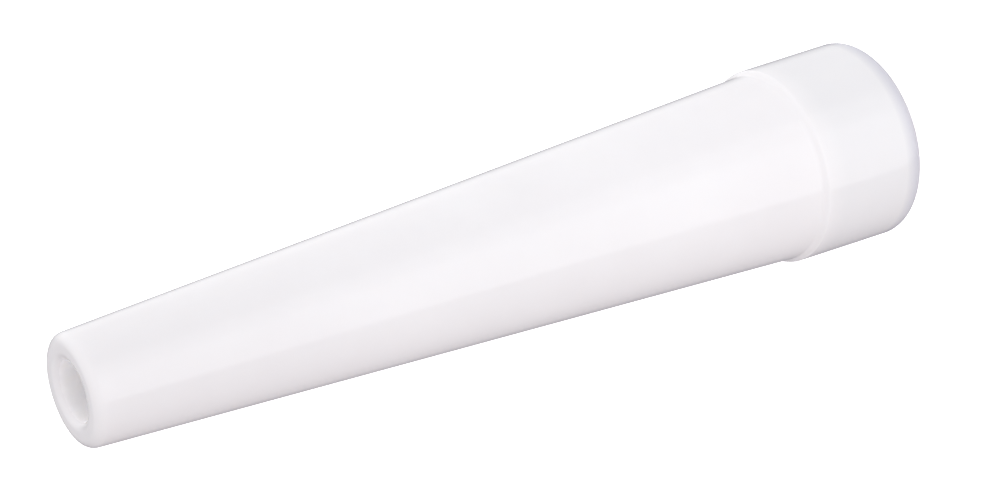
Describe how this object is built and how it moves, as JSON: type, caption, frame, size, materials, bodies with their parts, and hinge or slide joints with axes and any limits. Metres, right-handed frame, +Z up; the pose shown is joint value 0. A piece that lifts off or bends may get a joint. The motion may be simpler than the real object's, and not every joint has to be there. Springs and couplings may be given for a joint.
{
  "type": "tig torch gas nozzle",
  "caption": "Long one-piece alumina gas nozzle for a TIG torch: threaded collar at the rear, straight tapered body, small rounded orifice at the tip.",
  "frame": {"origin": "centre of the flat rear seat face, on the nozzle's axis", "axes": "+X along the axis, out of the threaded rear mouth and back into the torch; the tip is on the -X side; +Z up with the nozzle lying level"},
  "size_m": [0.0762, 0.0172, 0.0172],
  "materials": {
    "ceramic": "white fired alumina, satin to glossy outside, slightly duller on the rear seat and in the gas passage"
  },
  "bodies": {
    "root": {"gas_nozzle": "ceramic"}
  },
  "joints": []
}
